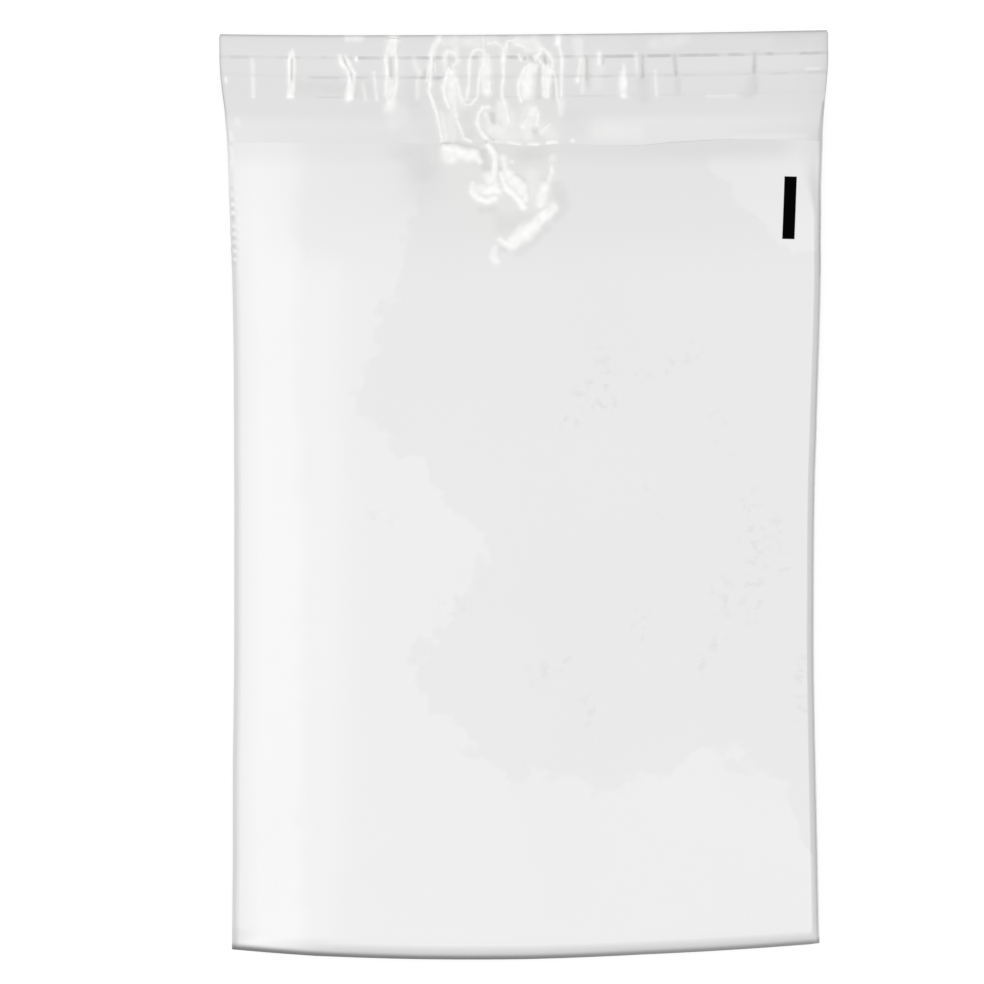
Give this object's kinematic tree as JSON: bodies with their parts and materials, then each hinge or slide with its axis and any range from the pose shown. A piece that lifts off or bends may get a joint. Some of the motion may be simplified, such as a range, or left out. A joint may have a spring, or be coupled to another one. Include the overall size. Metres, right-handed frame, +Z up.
{
  "type": "poly mailer bag",
  "caption": "Soft plastic mailing bag, filled and sealed, with a folded-over self-seal flap, welded sides and a flat back to lie on.",
  "frame": {"origin": "under the middle of the bag, on the plane that its back lies on", "axes": "+X across the bag towards the printed bar's side, +Y from the foot to the head fold, +Z up out of the front"},
  "size_m": [0.24, 0.3654, 0.0226],
  "materials": {
    "film": "soft gloss white polyethylene film",
    "adhesive": "translucent hot-melt strip",
    "ink": "flat black print"
  },
  "bodies": {
    "root": {"bag_film": "film", "adhesive_strip": "adhesive", "printed_bar": "ink"}
  },
  "joints": []
}
